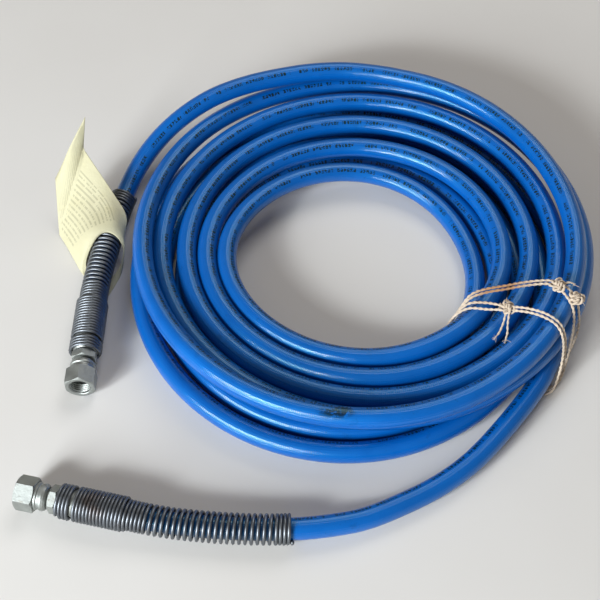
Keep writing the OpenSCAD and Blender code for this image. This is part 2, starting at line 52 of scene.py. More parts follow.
# ---- sizes, as in the CAD source ----
HOSE_D = 12.7
TURN_GAP = 1.7
LAYER_RISE_GAP = 0.7
CLIMB_SHARE = 0.4
HOSE_SINK = HOSE_D / 10
FLOOR_Z = HOSE_D / 2 - HOSE_SINK
LAYER_RISE = HOSE_D + LAYER_RISE_GAP
TWINE_D = 1.8
TWINE_ROOM = 0.8
TIE_LIFT = TWINE_D + HOSE_SINK + TWINE_ROOM
TAG_T = 0.4
THREAD_R = 6.25
THREAD_START = 51.2  # the nut's threaded wall, as distances from the ferrule's mouth
THREAD_END = 57.9
THREAD_PITCH = 25.4 / 18

# ---- where the fittings lie, and the routes of the two leads, as in the CAD source ----
A, B = 0, 1
FITTING_Z = 10.3
GUARD_Z = 9.0
MOUTH = np.array([[-114, -163, FITTING_Z], [-143, -21, FITTING_Z]])
HEADING = np.radians([167, 269])
BEFORE_MOUTH = 25
ROUTE = [
    [[-89, -168, GUARD_Z], [-65, -171, GUARD_Z], [-41, -172.5, GUARD_Z], [-18, -172.5, GUARD_Z],
     [3, -170, FLOOR_Z + 2], [23, -165, FLOOR_Z], [44, -156, FLOOR_Z], [66, -144, FLOOR_Z],
     [86, -129, FLOOR_Z + 1], [104, -110, FLOOR_Z + 2.4], [121, -89, FLOOR_Z + 3.4]],
    [[-142, 3, GUARD_Z + 0.9], [-139, 28, GUARD_Z + 0.9], [-136, 52, GUARD_Z + 0.6],
     [-131, 75, GUARD_Z + 1.2], [-123, 97, 14], [-110, 117, 21], [-93, 133, 28],
     [-73, 147, 32.4], [-51, 158, 33.6], [-28, 166, 33.6], [-4, 172, 33], [21, 174, 32.4]],
]

# ---- the spring guards: the CAD model's outer radii and places along the hose ----
# Counted on the photograph, the curls that touch are 2 mm apart. So the wire is thicker than in the
# CAD model, with one more curl over the ferrule, where the guard starts 1.2 mm nearer to the nut.
WIRE_D = 2.0
GUARD_WIDE_R = 9.15
GUARD_TIGHT_R = 7.9
GUARD_START = -33.3  # distances from the ferrule's mouth
WIDE_END = 5.3
TIGHT_END = 16.3
OPEN_END = 88.9
GUARD_END = 97.7
OPEN_PITCH = 3.3
CLOSE_PITCH = 2.05   # of curls that lie side by side
FIRST_CURLS = 3.5
GUARD_BREAK = 2.0    # the wire skips this much after its first curls, in half a turn

# ---- the coil: middle, half width and depth of the outermost turn, and the far side's spread ----
FLOOR_OVAL = ((17, 15), (141, 149), (0, 1.5))
UPPER_OVAL = ((32, 31), (146, 150), (3.2, 7))
TOP_OVAL = ((27, 35), (131, 136), (0, 0))
TURNS_IN = 4.3
COIL_START_AZ = -30
COIL_TURNS = 223 / 24
TIP_ROUND = 0.12
TOP_LAG = 0.1
TOP_SHIFT = 0.5
TIE_AZ = -34
TIE_REACH = 55
# where the real coil lies a little further out than the CAD model's even one, in the room between
# its turns: the turn, how many turns it spreads over, and how far out
UNEVEN = [(7.34, 0.16, 3.4), (8.46, 0.07, 2.4), (6.36, 0.15, 2.2), (5.36, 0.14, 1.2),
          (1.3, 0.12, 0.8), (2.35, 0.12, 0.6), (7.58, 0.1, 1.8), (5.58, 0.1, 1.4),
          (4.58, 0.1, 3)]

# ---- twine: two ties of two strands, and their knots, as in the CAD source ----
TIE_ROUTE = [
    [[[77.6, -35.9, 9], [80.8, -38, 24.4], [89, -37, 31.4], [100, -39.5, 33.8], [111, -43, 37.6],
      [122, -47.5, 41.6], [131, -53, 43.8], [137.8, -58, 42.6], [142, -62, 36], [144.2, -64.6, 22],
      [142.8, -70.8, 9.5], [138.4, -77.6, 2.9], [130, -75, 1.1], [105, -55.6, 1.1],
      [83, -40.2, 1.1], [79.3, -37.7, 3]],
     [[78.9, -33.8, 9], [82.6, -35.8, 24.2], [89.5, -33.5, 31.6], [100, -35, 34.4],
      [110, -40.2, 38], [122, -45, 42], [132, -50.6, 44.2], [139.4, -56, 42.6], [143.4, -60, 36],
      [145.6, -62.4, 22], [145, -66.8, 9.5], [140.6, -74.2, 2.9], [131.6, -72.6, 1.1],
      [106.2, -53.4, 1.1], [84, -38, 1.1], [80.6, -35.6, 3]]],
    [[[80.4, -31.7, 9], [84.2, -33.6, 24], [90.5, -29.8, 31.8], [99, -28.4, 35.6], [111, -29, 40],
      [125, -29, 44], [137, -29.6, 45.6], [144, -35, 45], [149, -42.4, 41.6], [151, -46.2, 35],
      [151.6, -51, 22], [149, -60, 9.5], [143.2, -71, 2.9], [133.6, -70, 1.1],
      [107.4, -51.2, 1.1], [85.2, -35.8, 1.1], [82, -33.5, 3]],
     [[81.8, -29.6, 9], [85.4, -31, 24], [91, -27.2, 31.8], [99, -25.8, 35.6], [111, -26.4, 40],
      [125, -26.4, 44], [138, -27, 45.6], [147, -31, 44.4], [152.4, -37, 41], [154.4, -41, 35],
      [156.2, -44, 22], [154.2, -48, 9.5], [150.2, -51.4, 2.9], [142, -50, 1.1],
      [109, -43, 1.1], [86.4, -33.2, 1.1], [83.3, -31.4, 3]]],
]
KNOT_PLACE = np.array([[111, -41.6, 38.4], [141.4, -31, 46.6], [151.4, -39.6, 44.6]])
KNOT_TURN = np.radians([0, -20, 40])
KNOT_SIZE = 1.35

# ---- what the scene adds to the twine ----
TWINE_LAY = 6.5  # length of one turn of the twine's two plies
KNOT_MIDDLE = KNOT_PLACE + [0, 0, HOSE_SINK]
# for each knot: the way that its strands run through it
KNOT_WAY = np.array([[11.0, -2, 4], [12, -3, 0], [3, -9, -3]])
# for each knot: where on it a loose end starts, in degrees, and the points that it runs on to
KNOT_TAILS = [
    [(165, [[108.5, -50, 33.8], [106, -55, 31.6], [103.4, -58, 30.6]]),
     (195, [[111, -51, 34.6], [110.6, -56, 31.8], [109, -60.4, 30.8]])],
    [(60, [[148.5, -29.2, 46.8], [151.5, -29.6, 45.8]])],
    [],
]

# ---- the tag's bent sheet: the CAD source's, with its right edge and its fold a little moved ----
TAG_ROWS = np.array([
    [[-137, -5, 0.2], [-133, 4, 0.2], [-129.5, 14, 0.3], [-128, 22.5, 1.5]],
    [[-153, 15, 0.2], [-151, 19, 1.5], [-129, 28, 9], [-127.4, 37, 12.5]],
    [[-160, 27, 0.3], [-149, 31, 17.5], [-135, 39, 21.5], [-126.5, 50, 19]],
    [[-166, 38, 0.4], [-155, 46, 17], [-142, 57, 24], [-135.5, 64, 26]],
    [[-173, 50, 0.6], [-167, 63, 15], [-160, 75.5, 31], [-155, 86.5, 44.5]],
    [[-175, 77, 26], [-169, 80, 37], [-162, 85.5, 50], [-152, 95.5, 64.5]],
])
TAG_SIZE = np.array([5, 3])
TAG_HOLE = np.array([1.11, 1.56])  # a tighter hole than the CAD model's, as in the photograph
TAG_HOLE_R = np.array([0.8, 0.56])
FOLD_ROW = 4

# ---- patterns, in metres ----
PRINT_ROUND = 1 - 32 / 360  # the printed line lies this far round, toward the coil's middle
PRINT_TALL = 0.06           # its width, as a share of the way round
MARK = 0.0023               # from one mark of the printed line to the next
MARK_CELLS = 4              # cells along and across a mark, each of which is inked or bare
# groups of marks: from one group to the next, and the share of it that is printed
PRINT_GROUPS = ((0.0163, 0.84), (0.0611, 0.9))
BRAID_PITCH = 0.0024        # along the hose between strands that run the same way
BRAID_STRANDS = 14          # strands each way round the hose
# the tag's printed lines, in rows and columns of its sheet
LINE_GAP = 0.165                   # columns from one line to the next
LINES_FROM, LINES_TO = 0.22, 2.36  # the first and last column
LINES_START = 2.75                 # the row in which they would start in column 0
LINES_SLANT = 0.28                 # they start this many rows earlier one column further on
LINES_GONE = 4.8                   # past the fold they fade, and in this row they are gone
LINE_CELLS = 30                    # cells in one row's length of a line
# spots, in millimetres: the black scuff at the front of the coil, the brown stretch of the second
# tie, and the brown stain on guard A
SCUFFED_HOSE = [8, -115, 39]
SOILED_TWINE = [109, -28, 40]
SOILED_GUARD = [-127, -163, 18]


# ---- lines ----
def blend4(a, b, c, d, t):
    """From b at t = 0 to c at t = 1, on a smooth curve that a and d shape."""
    return (2 * b + (c - a) * t + (2 * a - 5 * b + 4 * c - d) * t**2
            + (3 * b - a - 3 * c + d) * t**3) / 2


def spline(points, steps):
    """A smooth curve through all the points but the first and the last."""
    p = np.array(points, float)
    inner = [blend4(*p[i - 1:i + 3], j / steps) for i in range(1, len(p) - 2) for j in range(steps)]
    return np.array(inner + [p[-2]])


def spline_loop(points, steps):
    """A smooth closed curve through all the points."""
    p = np.array(points, float)
    n = len(p)
    return np.array([blend4(p[i - 1], p[i], p[(i + 1) % n], p[(i + 2) % n], j / steps)
                     for i in range(n) for j in range(steps)])


def unit(v):
    """Directions of the same way as v, one long."""
    return v / np.linalg.norm(v, axis=-1, keepdims=True)


def run_of(line):
    """The distance along a line at each of its points."""
    return np.concatenate([[0], np.cumsum(np.linalg.norm(np.diff(line, axis=0), axis=1))])


def at_run(line, run):
    """The points that lie at these distances along a line."""
    have = run_of(line)
    return np.stack([np.interp(run, have, line[:, k]) for k in range(3)], axis=1)


def evenly(line, step):
    """The same line with points about one step apart."""
    length = run_of(line)[-1]
    return at_run(line, np.linspace(0, length, max(2, round(length / step) + 1)))


def smoothed(line, reach):
    """An evenly spaced line, averaged with its neighbours. Its ends are made to run straight on."""
    step = np.linalg.norm(line[1] - line[0])
    n = math.ceil(3 * reach / step)
    away = np.arange(n, 0, -1)[:, None]
    padded = np.concatenate([
        line[0] + away * (line[0] - line[1]), line, line[-1] + away[::-1] * (line[-1] - line[-2])])
    weights = np.exp(-0.5 * (np.arange(-n, n + 1) * step / reach) ** 2)
    weights /= weights.sum()
    return np.stack([np.convolve(padded[:, k], weights, "valid") for k in range(3)], axis=1)


def ease(t):
    """0 up to t = 0, 1 from t = 1, and smooth between."""
    c = np.clip(t, 0, 1)
    return c * c * (3 - 2 * c)


def tangents(line):
    return unit(np.gradient(line, axis=0))


def round_about(way, angle):
    """Directions square to way, which isn't upright, at an angle from its right side to its top."""
    side = unit(np.cross(way, UP))
    return np.cos(angle) * side + np.sin(angle) * np.cross(side, way)


def level_frames(line):
    """For each point of a line that never runs straight up: the side to its right, and up."""
    tangent = tangents(line)
    side = unit(np.cross(tangent, UP))
    return side, np.cross(side, tangent)


def carried_frames(line):
    """Two directions square to the line, carried along it without twist."""
    tangent = tangents(line)
    first = np.eye(3)[np.abs(tangent[0]).argmin()]
    side = [unit(np.cross(tangent[0], first))]
    for t in tangent[1:]:
        side.append(unit(side[-1] - t * (side[-1] @ t)))
    side = np.array(side)
    return side, np.cross(side, tangent)


# ---- the hose's centreline ----
def soft(x):
    """The size of x, rounded off near 0."""
    return np.sqrt(x * x + TIP_ROUND * TIP_ROUND)


def oval_at(oval, steps, az):
    """Where on the floor a layer's turn runs that lies some steps further in."""
    middle, half, spread = oval
    step = HOSE_D + TURN_GAP
    return [middle[k] - spread[k] / 2 * steps
            + (half[k] - (step + spread[k] / 2) * steps) * (np.cos, np.sin)[k](az)
            for k in range(2)]


def coil_at(s):
    """Centre of the hose after s turns of the coil."""
    az = np.radians(COIL_START_AZ) + TURN * s
    past = s - 2 * TURNS_IN
    steps = TURNS_IN - soft(s - TURNS_IN) + (soft(past) + past) / 2
    climb_1 = ease((s - TURNS_IN) / CLIMB_SHARE + 0.5)
    climb_2 = ease(past / CLIMB_SHARE + 0.5)
    shift = ease((past - TOP_LAG) / TOP_SHIFT)
    out = sum(move * np.exp(-((s - turn) / reach) ** 2) for turn, reach, move in UNEVEN)
    flat = []
    for low, high, top, way in zip(oval_at(FLOOR_OVAL, steps, az), oval_at(UPPER_OVAL, steps, az),
                                   oval_at(TOP_OVAL, 0, az), (np.cos(az), np.sin(az))):
        side = low * (1 - climb_1) + high * climb_1
        flat.append(side * (1 - shift) + top * shift + out * way)
    off = np.abs((np.degrees(az) - TIE_AZ + 180) % 360 - 180)
    lift = np.where(off < TIE_REACH, TIE_LIFT * np.cos(np.radians(90 * off / TIE_REACH)) ** 2, 0)
    return np.stack([*flat, FLOOR_Z + LAYER_RISE * (climb_1 + climb_2) + lift], axis=-1)


def fitting_axis(end):
    """The direction from a ferrule's mouth to its nut."""
    return np.array([math.cos(HEADING[end]), math.sin(HEADING[end]), 0])


def lead_line(end, coil_end, coil_way):
    """From the ferrule's mouth to the coil, which starts one hose diameter further on."""
    steps = 12
    start = MOUTH[end]
    return spline([start + BEFORE_MOUTH * fitting_axis(end), start, *ROUTE[end],
                   coil_end - HOSE_D * coil_way, coil_end], steps)


def hose_line():
    """The whole hose from ferrule A to ferrule B, round and clear of the floor."""
    points_a_turn, step, reach, rise = 120, 1.5, 4, 30
    turns = np.linspace(0, COIL_TURNS, round(COIL_TURNS * points_a_turn))
    coil = coil_at(turns)
    way = tangents(coil)
    whole = np.concatenate([lead_line(A, coil[0], way[0]), coil,
                            lead_line(B, coil[-1], -way[-1])[::-1]])
    line = smoothed(evenly(whole, step), reach)
    run = run_of(line)
    from_end = np.minimum(run, run[-1] - run)
    line[:, 2] += HOSE_SINK * ease((from_end - GUARD_END) / rise)
    return line


def over_floor(line):
    """The CAD hose stands HOSE_SINK deep in the floor. This lifts what lies on the real hose."""
    lowest, rise = 3, 8
    raised = np.array(line, float)
    raised[:, 2] += HOSE_SINK * ease((raised[:, 2] - lowest) / rise)
    return raised


# ---- meshes ----
def mesh_object(name, points, faces, smooth=True):
    """An object in the scene, from points in millimetres."""
    mesh = bpy.data.meshes.new(name)
    mesh.from_pydata((np.asarray(points) * MM).tolist(), [], faces)
    mesh.polygons.foreach_set("use_smooth", [smooth] * len(mesh.polygons))
    piece = bpy.data.objects.new(name, mesh)
    bpy.context.scene.collection.objects.link(piece)
    return piece


def map_faces(piece, name, corners):
    """A UV map with two coordinates for each corner of each face."""
    layer = piece.data.uv_layers.new(name=name)
    layer.uv.foreach_set("vector", corners.astype(np.float32).ravel())


def tube_faces(rings, sides):
    """Quads between rings of points, and a cap on the first and the last ring."""
    quads = []
    for i in range(rings - 1):
        for j in range(sides):
            a, b = i * sides + j, i * sides + (j + 1) % sides
            quads.append((a, b, b + sides, a + sides))
    first = np.arange(sides)
    return quads + [tuple(first[::-1].tolist()), tuple((first + (rings - 1) * sides).tolist())]


def tube_points(line, radius, sides, frames, twist):
    """Rings of a tube. radius is a number, or one for each point of each ring."""
    side, up = frames
    angle = TURN * np.arange(sides) / sides + np.reshape(twist, (-1, 1))
    angle = np.broadcast_to(angle, (len(line), sides))[..., None]
    r = np.broadcast_to(radius, (len(line), sides))[..., None]
    rings = line[:, None] + r * (np.cos(angle) * up[:, None] + np.sin(angle) * side[:, None])
    return rings.reshape(-1, 3)


def tube(name, line, radius, sides, frames, twist=0.0):
    """A tube whose UV map gives the metres along it and the share of the way round it."""
    piece = mesh_object(name, tube_points(line, radius, sides, frames, twist),
                        tube_faces(len(line), sides))
    run = run_of(line)
    along, around = [], []
    for i in range(len(run) - 1):
        for j in range(sides):
            along += [run[i], run[i], run[i + 1], run[i + 1]]
            around += [j, j + 1, j + 1, j]
    quads = np.stack([np.array(along) * MM, np.array(around) / sides], axis=1)
    caps = np.zeros((2 * sides, 2))
    map_faces(piece, "along_round", np.concatenate([quads, caps]))
    return piece


def dress(piece, body, material, replaced=()):
    """Gives a piece its material, its body and the CAD nodes that it replaces."""
    piece.data.materials.append(material)
    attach(piece, body)
    if replaced:
        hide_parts(*replaced)


# ---- materials ----
class Finish:
    """A Principled material whose patterns are made of nodes."""

    def __init__(self, name, **sockets):
        self.material = bpy.data.materials.new(name)
        self.material.use_nodes = True
        self.tree = self.material.node_tree
        self.surface = self.tree.nodes["Principled BSDF"]
        for socket, value in sockets.items():
            self.set(socket.replace("_", " "), value)

    def feed(self, value, socket):
        """Links a node's output to a socket, or writes a number or a colour into it."""
        if isinstance(value, bpy.types.NodeSocket):
            self.tree.links.new(value, socket)
        elif socket.type == "RGBA":
            socket.default_value = (*value, 1)
        else:
            socket.default_value = value

    def set(self, socket, value):
        self.feed(value, self.surface.inputs[socket])

    def node(self, kind, inputs=(), out=0, **settings):
        """Adds a node, fed with these inputs, and gives one of its outputs."""
        made = self.tree.nodes.new("ShaderNode" + kind)
        for key, value in settings.items():
            setattr(made, key, value)
        for key, value in dict(inputs).items():
            self.feed(value, made.inputs[key])
        return made.outputs[out]

    def math(self, operation, a, b=0.0):
        return self.node("Math", {0: a, 1: b}, operation=operation)

    def times(self, first, *others):
        """All the values multiplied."""
        for other in others:
            first = self.math("MULTIPLY", first, other)
        return first

    def dashes(self, value, share):
        """1 in the first share of each whole step of the value, and 0 in the rest."""
        return self.math("LESS_THAN", self.math("FRACT", value), share)

    def cells(self, across, up, share):
        """1 in a random share of the cells of a grid, and 0 in the rest."""
        cell = self.node("CombineXYZ", {0: self.math("FLOOR", across), 1: self.math("FLOOR", up)})
        return self.math("LESS_THAN", self.node("TexWhiteNoise", {"Vector": cell}), share)

    def place(self, scale=(1, 1, 1)):
        """A point of the piece in the model's frame, in metres, stretched by scale."""
        where = self.node("TexCoord", out="Object")
        return self.node("Mapping", {"Vector": where, "Scale": scale})

    def off(self, spot, stretch=(1, 1, 1)):
        """Metres from a spot of the model, which is in millimetres, in a stretched frame."""
        middle = [s * k * MM for s, k in zip(spot, stretch)]
        return self.node("VectorMath", {0: self.place(stretch), 1: middle}, out=1,
                         operation="DISTANCE")

    def uv(self, name):
        """The two coordinates of a UV map."""
        split = self.tree.nodes.new("ShaderNodeSeparateXYZ")
        self.feed(self.node("UVMap", uv_map=name), split.inputs[0])
        return split.outputs[0], split.outputs[1]

    def noise(self, where, scale, detail, roughness=0.55):
        return self.node("TexNoise", {"Vector": where, "Scale": scale, "Detail": detail,
                                      "Roughness": roughness})

    def between(self, value, low, high, to_low=0.0, to_high=1.0):
        """to_low where the value is low, to_high where it is high, and even steps between."""
        return self.node("MapRange", {"Value": value, "From Min": low, "From Max": high,
                                      "To Min": to_low, "To Max": to_high})

    def mix(self, share, a, b):
        """Colour a, with a share of colour b."""
        made = self.tree.nodes.new("ShaderNodeMix")
        made.data_type = "RGBA"
        for value, socket in zip((share, a, b), (made.inputs[0], made.inputs[6], made.inputs[7])):
            self.feed(value, socket)
        return made.outputs[2]

    def bump(self, height, depth, below=None):
        """Bump of that depth in metres, on top of the bump below."""
        inputs = {"Height": height, "Distance": depth, "Strength": 1.0}
        if below is not None:
            inputs["Normal"] = below
        return self.node("Bump", inputs)


def rgb(red, green, blue):
    """A colour that is written as it looks on a screen, from 0 to 255."""
    return tuple(((c / 255 + 0.055) / 1.055) ** 2.4 if c > 10 else c / 255 / 12.92
                 for c in (red, green, blue))


def printed_line(f, along, around):
    """A plain broken line of unreadable marks, in groups of different lengths."""
    row = f.math("DIVIDE", f.math("SUBTRACT", around, PRINT_ROUND - PRINT_TALL / 2), PRINT_TALL)
    inside = f.math("LESS_THAN", f.math("ABSOLUTE", f.math("SUBTRACT", row, 0.5)), 0.5)
    place = f.math("DIVIDE", along, MARK)
    inked = f.cells(f.times(place, MARK_CELLS), f.times(row, MARK_CELLS), 0.7)
    groups = [f.dashes(f.math("DIVIDE", along, length), share) for length, share in PRINT_GROUPS]
    return f.times(inked, f.dashes(place, 0.75), inside, *groups)


def braid(f, along, around):
    """The braid's diamonds, which show faintly through the cover."""
    waves = []
    for way in (1, -1):
        turn = f.times(around, TURN * BRAID_STRANDS * way)
        waves.append(f.math("SINE", f.math("ADD", f.times(along, TURN / BRAID_PITCH), turn)))
    return f.times(*waves)


def hose_finish(length):
    """Blue cover, soiled, scuffed, with painted shade that darkens it under the guards, and with a
    printed line.
    """
    f = Finish("hose_cover", IOR=1.54, Specular_Tint=(0.15, 0.85, 1.0), Coat_Weight=0.6,
               Coat_Roughness=0.09)
    along, around = f.uv("along_round")
    where = f.place()
    blue = f.mix(f.noise(where, 22, 4), rgb(0, 76, 153), rgb(2, 99, 190))
    grime = f.between(f.noise(where, 60, 6, 0.7), 0.62, 0.74)
    specks = f.between(f.noise(where, 420, 2), 0.7, 0.76)
    soiled_and_shaded = f.mix(f.times(grime, 0.5), blue, rgb(8, 44, 92))
    soiled_and_shaded = f.mix(f.times(specks, 0.6), soiled_and_shaded, rgb(8, 26, 50))
    scuff = f.times(f.between(f.off(SCUFFED_HOSE, (0.4, 1, 1)), 0.005, 0.0025),
                    f.between(f.noise(where, 300, 4, 0.7), 0.42, 0.5))
    soiled_and_shaded = f.mix(scuff, soiled_and_shaded, rgb(4, 22, 52))
    # painted shade: the cover is mixed toward dark navy along each guard, where its wires shade the
    # hose, and this fades out over the guard's last 6 mm
    shade = 6
    under_a = f.between(along, GUARD_END * MM, (GUARD_END - shade) * MM)
    under_b = f.between(along, (length - GUARD_END) * MM, (length - GUARD_END + shade) * MM)
    soiled_and_shaded = f.mix(f.times(f.math("MAXIMUM", under_a, under_b), 0.6), soiled_and_shaded, rgb(6, 24, 58))
    worn = f.between(f.noise(where, 120, 3), 0.26, 0.4)
    ink = f.times(printed_line(f, along, around), worn)
    f.set("Base Color", f.mix(ink, soiled_and_shaded, rgb(6, 12, 24)))
    gloss = f.between(f.noise(where, 90, 4), 0.3, 0.7, 0.36, 0.5)
    f.set("Roughness", f.math("ADD", gloss, f.times(ink, 0.2)))
    weave = braid(f, along, around)
    dents = f.noise(where, 500, 3)
    f.set("Normal", f.bump(dents, 0.00004, f.bump(weave, 0.00003)))
    f.set("Coat Normal", f.bump(dents, 0.00003, f.bump(weave, 0.00007)))
    return f.material


def plain_hose_finish():
    """The cover where no printed line or braid shows, inside a ferrule."""
    f = Finish("hose_cover_end", Roughness=0.4)
    where = f.place()
    f.set("Base Color", f.mix(f.noise(where, 200, 3), rgb(5, 70, 152), rgb(14, 90, 182)))
    f.set("Normal", f.bump(f.noise(where, 900, 3), 0.00005))
    return f.material


def core_finish():
    """Natural nylon."""
    f = Finish("core_nylon", Roughness=0.45)
    where = f.place()
    f.set("Base Color", f.mix(f.noise(where, 150, 3), rgb(214, 210, 196), rgb(236, 233, 222)))
    f.set("Normal", f.bump(f.noise(where, 800, 3), 0.00004))
    return f.material


def braid_finish():
    """Grey fibre, woven on the slant."""
    f = Finish("braid_fibre", Roughness=0.7)
    weave = f.node("TexWave", {"Vector": f.place(), "Scale": 260, "Distortion": 1.5},
                   bands_direction="DIAGONAL")
    f.set("Base Color", f.mix(weave, rgb(52, 54, 60), rgb(104, 106, 112)))
    f.set("Normal", f.bump(weave, 0.0002))
    return f.material


def zinc_finish():
    """Dull zinc plate with a little rust."""
    f = Finish("zinc_plate", Metallic=0.85)
    where = f.place()
    grain = f.noise(f.place((1, 1, 6)), 700, 3, 0.6)
    blotch = f.noise(where, 140, 4)
    plate = f.mix(blotch, rgb(134, 138, 136), rgb(176, 180, 176))
    rust = f.between(f.noise(where, 330, 5, 0.65), 0.6, 0.72)
    f.set("Base Color", f.mix(f.times(rust, 0.55), plate, rgb(112, 92, 66)))
    f.set("Roughness", f.between(blotch, 0.3, 0.7, 0.42, 0.56))
    dents = f.bump(f.noise(where, 260, 3), 0.00018)
    f.set("Normal", f.bump(grain, 0.00005, dents))
    return f.material


def wire_finish():
    """Grey steel wire with specks of rust and one brown stain."""
    f = Finish("guard_wire", Metallic=1.0)
    where = f.place()
    blotch = f.noise(where, 90, 4)
    steel = f.mix(blotch, rgb(97, 102, 108), rgb(137, 141, 146))
    rust = f.between(f.noise(where, 170, 5, 0.65), 0.6, 0.74)
    soil = f.times(f.between(f.off(SOILED_GUARD), 0.011, 0.003), f.between(blotch, 0.35, 0.55))
    stained = f.math("MAXIMUM", f.times(rust, 0.5), f.times(soil, 0.7))
    f.set("Base Color", f.mix(stained, steel, rgb(84, 62, 46)))
    f.set("Roughness", f.between(f.noise(where, 600, 3), 0.3, 0.7, 0.38, 0.56))
    f.set("Normal", f.bump(f.noise(where, 1500, 3), 0.00006))
    return f.material


def twine_finish():
    """Pale twine of fine strands, with one brown stretch."""
    f = Finish("twine_fibre", Roughness=0.88, Sheen_Weight=0.25)
    along, around = f.uv("along_round")
    where = f.place()
    fibre = f.node("CombineXYZ", {0: f.times(along, 260), 1: f.times(around, 9)})
    strands = f.noise(fibre, 3, 4, 0.7)
    clean = f.between(f.off(SOILED_TWINE, (0.4, 1, 1)), 0.004, 0.011)
    uneven = f.noise(where, 160, 4)
    pale = f.mix(uneven, rgb(202, 182, 158), rgb(232, 216, 196))
    brown = f.mix(uneven, rgb(140, 96, 62), rgb(196, 150, 106))
    colour = f.mix(clean, brown, pale)
    f.set("Base Color", f.mix(f.between(strands, 0.4, 0.75, 0, 0.4), colour, rgb(150, 120, 90)))
    f.set("Normal", f.bump(strands, 0.0002))
    return f.material


def tag_print(f, row, column, off_fold):
    """Lines of unreadable marks, from the hole to a little past the fold."""
    line = f.math("DIVIDE", f.math("SUBTRACT", column, LINES_FROM), LINE_GAP)
    inked = f.cells(f.times(row, LINE_CELLS), line, 0.8)
    start = f.math("SUBTRACT", LINES_START, f.times(column, LINES_SLANT))
    return f.times(inked, f.dashes(line, 0.4), f.math("GREATER_THAN", column, LINES_FROM),
                   f.math("LESS_THAN", column, LINES_TO), f.math("GREATER_THAN", row, start),
                   f.math("GREATER_THAN", off_fold, 0.07), f.between(row, FOLD_ROW, LINES_GONE, 1, 0))


def paper_finish():
    """Pale yellow paper, printed and creased."""
    f = Finish("tag_paper", Roughness=0.72)
    where = f.place()
    row, column = (f.times(share, size) for share, size in zip(f.uv("row_column"), TAG_SIZE))
    off_fold = f.math("ABSOLUTE", f.math("SUBTRACT", row, FOLD_ROW))
    paper = f.mix(f.noise(where, 30, 4), rgb(192, 187, 150), rgb(206, 201, 171))
    smudge = f.between(f.noise(where, 110, 4), 0.56, 0.75, 0, 0.25)
    paper = f.mix(smudge, paper, rgb(182, 172, 126))
    ink = f.times(tag_print(f, row, column, off_fold), 0.42)
    f.set("Base Color", f.mix(ink, paper, rgb(128, 126, 104)))
    crease = f.bump(f.between(off_fold, 0, 0.08, 1, 0), 0.0002)
    creases = f.bump(f.noise(where, 45, 5, 0.6), 0.0012, crease)
    f.set("Normal", f.bump(f.noise(where, 1600, 2), 0.00004, creases))
    return f.material


# ---- hose, guards and threads ----
def make_hose(line, material):
    """The whole hose as one tube."""
    step, sides = 4, 24
    line = evenly(line, step)
    hose = tube("hose", line, HOSE_D / 2, sides, level_frames(line))
    dress(hose, "hose", material, ["hose_coil", "hose_lead_a", "hose_lead_b"])


def guard_run():
    """Curl number against distance along the hose from the ferrule's mouth."""
    first = GUARD_START + FIRST_CURLS * CLOSE_PITCH
    second = first + 0.5 * CLOSE_PITCH + GUARD_BREAK
    wide = round((WIDE_END - second) / CLOSE_PITCH)
    tight = round((TIGHT_END - WIDE_END) / CLOSE_PITCH)
    opened = round((OPEN_END - TIGHT_END) / OPEN_PITCH)
    last = round((GUARD_END - OPEN_END) / CLOSE_PITCH)
    curls = np.cumsum([0, FIRST_CURLS, 0.5, wide, tight, opened, last])
    return curls, [GUARD_START, first, second, WIDE_END, TIGHT_END, OPEN_END, GUARD_END]


def guard_axis(end, hose, run):
    """The guard's axis and its direction, at distances along the hose from the ferrule's mouth."""
    inner, step, outer, reach = 40, 2, 140, 6
    inside = MOUTH[end] + np.arange(inner, 0, -step)[:, None] * fitting_axis(end)
    axis = np.concatenate([inside, hose[run_of(hose) < outer]])
    along = inner + run
    return at_run(axis, along), unit(at_run(axis, along + reach) - at_run(axis, along - reach))


def make_guard(end, name, node, hose, material):
    """A wire wound round the first part of the hose and round the ferrule."""
    points_a_curl, sides = 28, 10
    curls, places = guard_run()
    turns = np.linspace(0, curls[-1], round(curls[-1] * points_a_curl))
    centre, way = guard_axis(end, hose, np.interp(turns, curls, places))
    narrow = ease(turns - np.interp(WIDE_END, places, curls) + 0.5)[:, None]
    r = GUARD_WIDE_R * (1 - narrow) + GUARD_TIGHT_R * narrow
    line = centre + r * round_about(way, TURN * turns[:, None])
    guard = tube(name, line, WIRE_D / 2, sides, carried_frames(line))
    dress(guard, "hose", material, [node])


def make_thread(end, name, body, material):
    """The ridge of the nut's female thread, on the wall of its bore."""
    foot, crest, tall, sunk, points_a_turn = 0.62, 0.1, 0.42, 0.02, 48
    turns = np.arange(0, (THREAD_END - THREAD_START) / THREAD_PITCH, 1 / points_a_turn)
    height = tall * np.minimum(1, 2 * np.minimum(turns, turns[-1] - turns) + 0.1)
    away = fitting_axis(end)
    rings = []
    for turn, high in zip(turns, height):
        out = round_about(away, TURN * turn)
        middle = MOUTH[end] + away * (THREAD_START + THREAD_PITCH * turn)
        for along, r in ((-foot, sunk), (-crest, -high), (crest, -high), (foot, sunk)):
            rings.append(middle + along * away + (THREAD_R + r) * out)
    thread = mesh_object(name, rings, tube_faces(len(turns), 4), smooth=False)
    dress(thread, body, material)


# ---- twine ----
def twine_tube(name, line, thick=TWINE_D, taper=0.0):
    """Twine of two plies. taper is the length over which its end thins out."""
    step, sides, patch, thin_end = 0.45, 14, 1.3, 0.45
    bluntness, waist = 0.7, 0.68
    line = evenly(np.array(line, float), step)
    run = run_of(line)
    angle = TURN * np.arange(sides) / sides
    lobes = np.maximum(np.abs(np.cos(angle)) ** bluntness, waist)
    marks = np.arange(0, run[-1] + 2, patch)
    uneven = np.interp(run, marks, rng.uniform(0.92, 1.06, len(marks)))
    if taper:
        uneven *= thin_end + (1 - thin_end) * ease((run[-1] - run) / taper)
    radius = thick / 2 * lobes[None] * uneven[:, None]
    return tube(name, line, radius, sides, carried_frames(line), TURN * run / TWINE_LAY)


